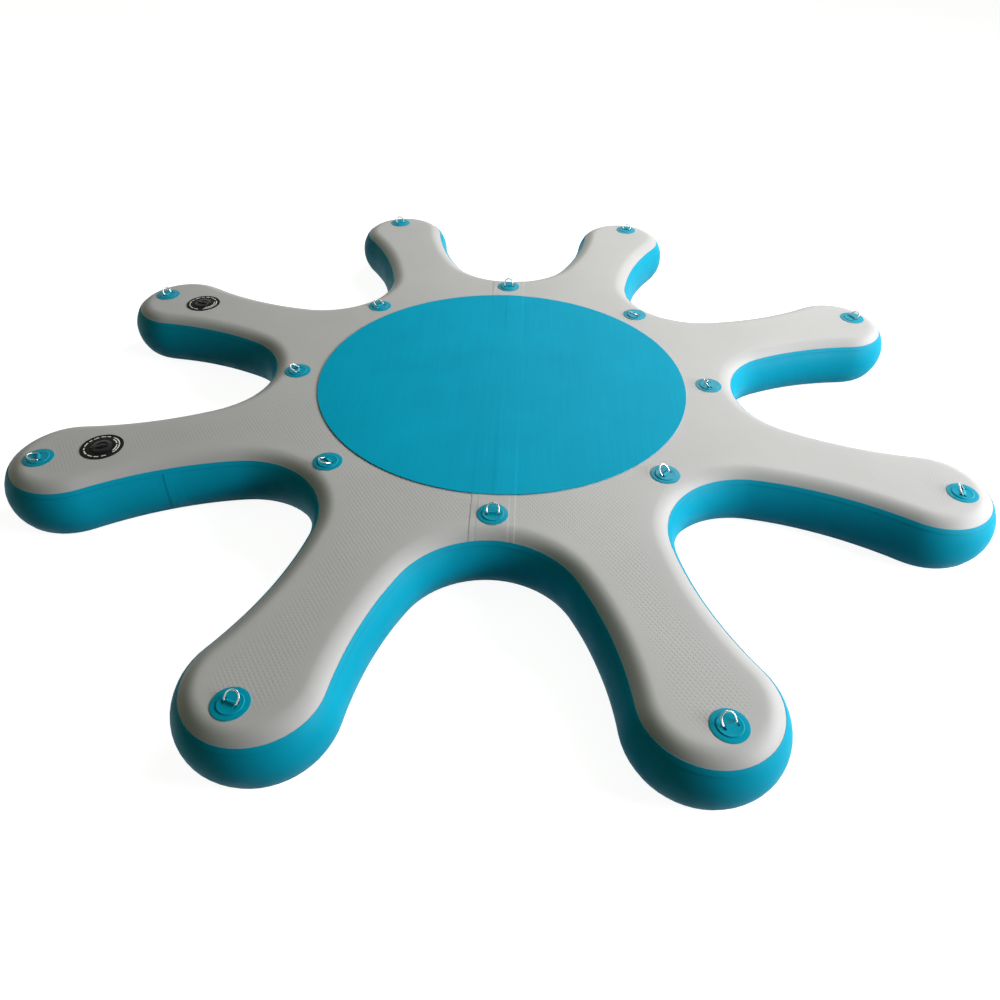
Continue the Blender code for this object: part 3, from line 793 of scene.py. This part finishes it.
# %% Pad finish
def pad_finish():
    finish, tree, shader, place = start_finish(
        "brushed_teal_foam", Roughness=0.6, IOR=1.5, Specular_IOR_Level=0.04
    )
    # Brush strokes run from front to back, each about 4 mm wide and 0.3 m long
    stretched = add_node(tree, "ShaderNodeMapping", {"Vector": place, "Scale": (250, 3.5, 1)})
    strokes = noisy(tree, stretched.outputs[0], 1.0, 3.0)
    cloud = noisy(tree, place, 5.0, 2.0)
    mixed = add_node(tree, "ShaderNodeMath", {0: strokes, 1: cloud}, operation="ADD")
    share = add_node(tree, "ShaderNodeMapRange", {0: mixed.outputs[0], 1: 0.6, 2: 1.4, 3: 0.0, 4: 1.0})
    tone = blend(tree, share.outputs[0], "0094b3", "009fbf")
    plug_in(tree, shader, Base_Color=tone, Normal=bumped(tree, strokes, 0.2, 0.0005))
    return finish


# %% Pad
PAD_RADIUS = 0.640
PAD_THICKNESS = 0.003
PAD_STEPS = [  # (rise, where it starts, where it ends) from left to right, over the tape and its joint
    (0.00018, -TAPE_HALF - 0.004, -TAPE_HALF),
    (0.00030, -TAPE_HALF, -0.010),
    (0.00050, -0.012, 0.004),
    (-0.00045, 0.004, TAPE_HALF - 0.006),
    (-0.00053, TAPE_HALF - 0.006, TAPE_HALF + 0.003),
]
DENT = 0.00020


def ease(value, start, end):
    """0 before start, 1 after end, and smooth between."""
    share = min(1.0, max(0.0, (value - start) / (end - start)))
    return share * share * (3 - 2 * share)


def pad_top(x, y):
    """The pad's face: a low roof over the tape with its ridge at the joint, flattest where people stand."""
    roof = sum(rise * ease(x, start, end) for rise, start, end in PAD_STEPS)
    near_edge = 0.25 + 0.75 * ease(abs(y), 0.18, 0.50)
    dents = DENT * noise.noise(Vector((14 * x, 5 * y, 2)))
    return PANEL_TOP + GAP + PAD_THICKNESS + near_edge * roof + dents


def pad_bottom(x):
    over_tape = ease(x, -TAPE_HALF - 0.003, -TAPE_HALF - 0.0005)
    over_tape -= ease(x, TAPE_HALF + 0.0005, TAPE_HALF + 0.003)
    return PANEL_TOP + GAP + (TAPE + 0.0001) * over_tape


pad_foam = pad_finish()
columns = {PAD_RADIUS * math.sin(math.pi / 2 * step / 48) for step in range(-48, 49)}
columns |= {0.002 * step for step in range(-42, 43)}  # close together over the tape
rows = []
for x in sorted(columns):
    chord = math.sqrt(max(PAD_RADIUS**2 - x**2, 1e-10))
    spots = [chord * math.sin(math.pi / 2 * step / 24) for step in range(-24, 25)]
    rows.append([(x, y, pad_top(x, y)) for y in spots] + [(x, y, pad_bottom(x)) for y in reversed(spots)])
bm, _ = swept(rows, loop=True)
bmesh.ops.remove_doubles(bm, verts=bm.verts, dist=0.00002)
pad = add_piece("deck_pad_foam", finished(bm, "deck_pad_foam"), pad_foam, ["deck_pad"])
rim = pad.modifiers.new("cut_edge", "BEVEL")
rim.width = 0.0006
rim.segments = 2
rim.limit_method = "ANGLE"
rim.angle_limit = math.radians(60)
print("pad columns", len(rows))

# %% [markdown]
# ## Ring patches
#
# Each tie point is a moulded patch: a thin base disc welded to the deck, a smaller keeper disc on it with
# a rounded lip, and a sleeve of cloth that wraps the bar of a D-ring. Discs are turned from a profile,
# the sleeve is a bell-shaped section pulled along the bar, and Booleans join them and cut the tunnel for
# the bar and the two windows for the ring's legs. One mesh serves all sixteen patches.

# %% Patch shape
WIRE = 0.00225  # radius
RING_HALF = 0.01725  # from the middle of the ring to the middle of a leg
BAR_HEIGHT = 0.0040
BASE_TOP = 0.0012
SLEEVE_HALF = 0.0134
WINDOW_HALF = 0.0092
WINDOW_END = 0.0199
WINDOW_FLOOR = 0.0010


def pulled(name, section, start, end):
    """An outline of (x, z) points pulled along Y, with its ends a little smaller."""
    middle = sum(x for x, _ in section) / len(section)
    rows = []
    for y, scale in ((start, 0.94), (start + 0.0006, 1.0), (end - 0.0006, 1.0), (end, 0.94)):
        rows.append([(middle + (x - middle) * scale, y, z * scale) for x, z in section])
    bm, _ = swept(rows, loop=True)
    return finished(bm, name)


def brick(name, low, high):
    bm = bmesh.new()
    bmesh.ops.create_cube(bm, size=1)
    size = Vector(high) - Vector(low)
    bm.transform(Matrix.Translation((Vector(low) + Vector(high)) / 2) @ Matrix.Diagonal((*size, 1)))
    return finished(bm, name)


base_profile = [
    (0, 0.00290), (0.0225, 0.00290), (0.0262, 0.00298), (0.0280, 0.00325), (0.0296, 0.00330),
    (0.0305, 0.00300), (0.0310, 0.00240), (0.0313, 0.00165), (0.0322, 0.00130), (0.0340, BASE_TOP),
    (0.0438, BASE_TOP), (0.0446, 0.00095), (0.0450, 0.00045), (0.0450, 0), (0, 0),
]
bell = [(0.0037 * math.cos(a), BAR_HEIGHT + 0.0037 * math.sin(a)) for a in turns(25, 155, 10)]
bell = [(0.0088, 0.0016), (0.0080, 0.0031), (0.0062, 0.0036), (0.0047, 0.0044)] + bell
bell += [(-0.0047, 0.0044), (-0.0062, 0.0036), (-0.0080, 0.0031), (-0.0088, 0.0016)]
bore = WIRE + 0.0004
tunnel = spun("tunnel", [(0, 0.02), (bore, 0.02), (bore, -0.02), (0, -0.02)], 24, closed=False)
tunnel.transform(Matrix.Translation((0, 0, BAR_HEIGHT)) @ Matrix.Rotation(math.pi / 2, 4, "X"))
windows = [
    brick("window", (-WINDOW_HALF, -WINDOW_END, WINDOW_FLOOR), (WINDOW_HALF, -SLEEVE_HALF, 0.009)),
    brick("window", (-WINDOW_HALF, SLEEVE_HALF, WINDOW_FLOOR), (WINDOW_HALF, WINDOW_END, 0.009)),
]
patch_mesh = carved(
    spun("ring_patch", base_profile, closed=False),
    [pulled("sleeve", bell, -SLEEVE_HALF - 0.001, SLEEVE_HALF + 0.001)],
    [tunnel, *windows],
)
patch_mesh.name = "ring_patch"
print("patch faces", len(patch_mesh.polygons))

# %% [markdown]
# ## Rings
#
# The D-rings are bent from round stainless wire: a straight bar inside the sleeve, tight corners, two
# short legs and a half-round bow. Small circles laid along that line make the wire, and their tilt turns
# with it. Each ring leans as it happened to lie, and rides on its own body so that it can swing.

# %% Patches and rings in place
def steel_finish():
    finish, tree, shader, place = start_finish("polished_stainless_wire", Metallic=1.0)
    # Draw marks along the wire and faint finger marks, 0.5 mm and 6 mm wide
    marks = noisy(tree, place, 170.0, 4.0)
    tone = blend(tree, marks, "aaaaa8", "dadad7")
    plug_in(tree, shader, Base_Color=tone, Roughness=spread(tree, marks, 0.12, 0.26))
    return finish


NOTCH_PATCH = NOTCH_CENTRE - NOTCH_RADIUS - 0.115  # 0.115 m in from the widest line
TIP_PATCH = TIP_CENTRE + TIP_RADIUS - 0.121
TIP_LEANS = (-50, -50, -40, 50, 62, 55, 20, 70)  # degrees, away from the dock's middle where above 0
NOTCH_LEANS = (-45, -45, -45, -60, 20, 62, 55, 65)
BOW_HEIGHT = 0.0115
BEND = 0.0035

bow = arc(Vector((0, BOW_HEIGHT)), RING_HALF, 0, math.pi / 2, 14, 1)
corner = arc(Vector((RING_HALF - BEND, BEND)), BEND, -math.pi / 2, 0, 6, 1)
right_side = [spot for spot, _ in corner + bow]
wire_line = right_side + [Vector((-spot.x, spot.y)) for spot in reversed(right_side[:-1])]
wire_rows = []
befores = wire_line[-1:] + wire_line[:-1]
afters = wire_line[1:] + wire_line[:1]
for before, spot, after in zip(befores, wire_line, afters):
    ahead = ((spot - before).normalized() + (after - spot).normalized()).normalized()
    aside = Vector((ahead.y, -ahead.x))
    circle = [polar(WIRE, math.tau * step / 16) for step in range(16)]
    wire_rows.append([(place.x, *(spot + place.y * aside)) for place in circle])
bm, _ = swept(wire_rows, around=True, loop=True)
ring_mesh = finished(bm, "d_ring")
print("ring wire", 2000 * WIRE, "mm thick,", len(ring_mesh.polygons), "faces")

steel = steel_finish()
patch_pvc = teal_pvc("welded_teal_pvc_patch", "00889f", "0095ae", 0.34)
for kind, distance, angle_of, leans in (
    ("tip", TIP_PATCH, arm_angle, TIP_LEANS),
    ("notch", NOTCH_PATCH, notch_angle, NOTCH_LEANS),
):
    for number, lean in enumerate(leans, start=1):
        on_tape = kind == "notch" and number in (1, 5)
        seat = seat_of(distance, angle_of(number), (TAPE_TOP if on_tape else PANEL_TOP) + GAP)
        name = f"{kind}_{number}"
        add_piece(f"ring_patch_{name}", patch_mesh, patch_pvc, [f"patch_{name}"], place=seat)
        pose = seat @ Matrix.Translation((0, 0, BAR_HEIGHT)) @ Matrix.Rotation(math.radians(lean), 4, "Y")
        ring = f"ring_{name}"
        add_piece(f"d_ring_{name}", ring_mesh, steel, [ring], ring, pose)
print("patches and rings", len(TIP_LEANS) + len(NOTCH_LEANS))

# %% [markdown]
# ## Valves
#
# Two inflation valves stand on the left arms. Outside, each has a broad flat plate, a flange, a cap with
# a grip across it, and a tether ring round the flange that keeps the cap. The plate carries a broken ring
# of plain printed strokes. All of them are turned or pulled profiles with softened edges. Inside the
# barrel the nut, stem and washer stay as the solids have them and only get their finish.

# %% Black plastic, rubber and print
def black_finish(name, dark, light, roughness, grain_mm, depth, gloss=0.45):
    finish, tree, shader, place = start_finish(name, IOR=1.49, Specular_IOR_Level=gloss)
    # Spark-eroded mould grain, and scuffs about 17 mm across
    bump = bumped(tree, noisy(tree, place, 1000 / grain_mm, 2.0), 0.4, depth)
    scuff = noisy(tree, place, 60.0, 4.0)
    shine = spread(tree, scuff, roughness - 0.08, roughness + 0.08)
    plug_in(tree, shader, Base_Color=blend(tree, scuff, dark, light), Roughness=shine, Normal=bump)
    return finish


black_abs = black_finish("moulded_black_abs", "0c0d0d", "151616", 0.42, 0.8, 0.00004, 0.3)
black_rubber = black_finish("matt_black_rubber", "0d0d0d", "161615", 0.66, 1.2, 0.00008, 0.12)
white_ink = black_finish("white_pad_print", "e4e4e0", "f6f6f2", 0.55, 0.6, 0.00002)

# %% Valve shapes
PLATE_TOP = 0.0018
FLANGE_BOTTOM = 0.0021
FLANGE_TOP = 0.0046
CAP_FACE = 0.0026

plate_profile = [
    (0.0226, PLATE_TOP), (0.0545, PLATE_TOP), (0.0552, 0.00155), (0.0568, 0.00155), (0.0575, PLATE_TOP),
    (0.0628, PLATE_TOP), (0.0637, 0.00145), (0.0640, 0.0009), (0.0640, GAP), (0.0226, GAP),
]
body_profile = [
    (0.0199, FLANGE_TOP), (0.0300, FLANGE_TOP), (0.0307, 0.0043), (0.0310, 0.0038), (0.0310, FLANGE_BOTTOM),
    (0.0220, FLANGE_BOTTOM), (0.0220, -0.038), (0.0150, -0.038), (0.0150, -0.026), (0.0036, -0.026),
    (0.0036, -0.023), (0.0150, -0.023), (0.0150, -0.0007), (0.0195, -0.0007), (0.0195, 0.0042),
]
cap_profile = [
    (0, CAP_FACE), (0.0135, CAP_FACE), (0.0142, 0.0023), (0.0152, 0.0023), (0.0159, CAP_FACE),
    (0.0183, CAP_FACE), (0.0189, 0.0021), (0.0190, 0.0015), (0.0190, -0.0004), (0, -0.0004),
]
tether_profile = [
    (0.0321, 0.0035), (0.0322, 0.0036), (0.0345, 0.0036), (0.0350, 0.0032), (0.0350, 0.0025),
    (0.0346, FLANGE_BOTTOM), (0.0321, FLANGE_BOTTOM),
]


def soft_bar(half, low, high):
    """Section of the cap's grip, broader at its foot and rounded on top."""
    crown = 0.8 * half
    round_top = [(half * math.cos(a), high - crown + crown * math.sin(a)) for a in turns(0, 180, 20)]
    return [(1.25 * half, low)] + round_top + [(-1.25 * half, low)]


def tongue_mesh(name, half, thick, start, end, bottom):
    """Flat strip along X with a round far end."""
    round_end = [(end - half + half * math.cos(a), half * math.sin(a)) for a in turns(-90, 90, 15)]
    flat = [(start, -half)] + round_end + [(start, half)]
    bm = bmesh.new()
    low = [bm.verts.new((x, y, bottom)) for x, y in flat]
    high = [bm.verts.new((x, y, bottom + thick)) for x, y in flat]
    bm.faces.new(low[::-1])
    bm.faces.new(high)
    for here in range(len(flat)):
        other = (here + 1) % len(flat)
        bm.faces.new((low[here], low[other], high[other], high[here]))
    return finished(bm, name)


def stroke_mesh(strokes, radius, half, low, high):
    """Flat printed arcs, each given by its start and end in degrees and how far inward it lies."""
    whole = bmesh.new()
    for start, end, inward in strokes:
        count = max(2, round((end - start) / 4))
        rows = []
        for step in range(count + 1):
            way = polar(1, math.radians(start + (end - start) * step / count))
            near, far = radius - inward - half, radius - inward + half
            rows.append(
                [(far * way.x, far * way.y, low), (far * way.x, far * way.y, high)]
                + [(near * way.x, near * way.y, high), (near * way.x, near * way.y, low)]
            )
        bm, _ = swept(rows, loop=True)
        part = bpy.data.meshes.new("stroke")
        bm.to_mesh(part)
        bm.free()
        whole.from_mesh(part)
        bpy.data.meshes.remove(part)
    return finished(whole, "printed_strokes")


WEB_TOP = -0.023
BUTTON_BOTTOM = -0.0120
SPRING_RADIUS = 0.005
SPRING_WIRE = 0.0005
SPRING_TURNS = 3.5
AIR_HOLE_PROFILE = [(0, -0.01), (0.003, -0.01), (0.003, -0.035), (0, -0.035)]
AIR_HOLE_DISTANCE = 0.0093
STROKE_RADIUS = 0.0515
STROKE_HALF = 0.0017
STROKES = [
    (128, 228, 0.0), (136, 220, 0.0080), (240, 252, 0.0), (257, 272, 0.0), (279, 297, 0.0), (304, 315, 0.0),
    (322, 344, 0.0), (351, 362, 0.0), (368, 392, 0.0), (399, 418, 0.0), (424, 441, 0.0), (449, 465, 0.0),
]


def spring_mesh():
    """One unbroken coil between the web and the stem's button."""
    low = WEB_TOP + GAP + SPRING_WIRE
    high = BUTTON_BOTTOM - GAP - SPRING_WIRE
    count = round(24 * SPRING_TURNS)
    rows = []
    for step in range(count + 1):
        way = polar(1, math.tau * step / 24)
        height = low + (high - low) * step / count
        circle = [polar(SPRING_WIRE, math.tau * turn / 10) for turn in range(10)]
        rows.append([(*(way * (SPRING_RADIUS + spot.x)), height + spot.y) for spot in circle])
    bm, _ = swept(rows, loop=True)
    return finished(bm, "valve_spring")


spring_coil = spring_mesh()
grip = pulled("grip", soft_bar(0.0025, CAP_FACE - 0.001, CAP_FACE + 0.004), -0.016, 0.016)
grip.transform(Matrix.Rotation(math.pi / 2, 4, "Z"))
tongue = tongue_mesh("tongue", 0.005, 0.0012, 0.0, 0.0345, FLANGE_TOP + GAP)
air_holes = []
for quarter in range(4):
    hole = spun("air_hole", AIR_HOLE_PROFILE, 20, closed=False)
    hole.transform(Matrix.Translation((*polar(AIR_HOLE_DISTANCE, quarter * math.pi / 2), 0)))
    air_holes.append(hole)
plate_mesh = spun("valve_plate", plate_profile, 96)
body_mesh = carved(spun("valve_body", body_profile), [], air_holes)
cap_mesh = carved(spun("valve_cap", cap_profile, closed=False), [grip, tongue], [])
stroke_print = stroke_mesh(
    STROKES, STROKE_RADIUS, STROKE_HALF, PLATE_TOP - 0.0001, PLATE_TOP + 0.00012
)
print("plate", len(plate_mesh.polygons), "cap", len(cap_mesh.polygons), "faces")

# %% Valves in place
TAB_X = -0.0336  # on the inner side of the tether's ring
STANDING_TAB = Matrix.Translation((TAB_X, 0, FLANGE_BOTTOM + GAP)) @ Matrix.Rotation(-math.pi / 2, 4, "Y")
LYING_TAB = Matrix.Translation((TAB_X, 0, FLANGE_BOTTOM + 0.0001)) @ Matrix.Rotation(math.pi, 4, "Z")

for where, arm in VALVE_ARMS.items():
    seat = seat_of(VALVE_DISTANCE, arm_angle(arm), PANEL_TOP)
    name = f"valve_{where}"
    tab = tongue_mesh("tab", 0.003, 0.0015, 0.0, 0.012, 0.0)
    tab.transform(STANDING_TAB if where == "back" else LYING_TAB)
    tether = carved(spun("valve_tether", tether_profile), [tab], [])
    on_dock = [
        ("plate_disc", plate_mesh, black_rubber, "black_rubber", [f"{name}_plate"]),
        ("print", stroke_print, white_ink, "black_rubber", ()),
        ("flange", body_mesh, black_abs, "black_plastic", [f"{name}_body"]),
    ]
    for piece, mesh, finish, slot, nodes in on_dock:
        add_piece(f"{name}_{piece}", mesh, finish, nodes, place=seat)
    cap, tie = f"{name}_cap", f"{name}_tether"
    add_piece(f"{name}_lid", cap_mesh, black_abs, [cap], cap, seat)
    add_piece(f"{name}_tie", tether, black_rubber, [tie], tie, seat)
    coil = add_piece(f"{name}_coil", spring_coil, steel, [f"{name}_spring"], place=seat)
    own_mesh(coil)
    for part, finish in (("nut", black_abs), ("stem", black_abs), ("washer", black_rubber)):
        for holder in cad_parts[f"{name}_{part}"].material_slots:
            holder.material = finish
print("valves on arms", list(VALVE_ARMS.values()))

# %% [markdown]
# ## View transform
#
# The last line sets Blender's Standard view transform.

# %% View transform
bpy.context.scene.view_settings.view_transform = "Standard"
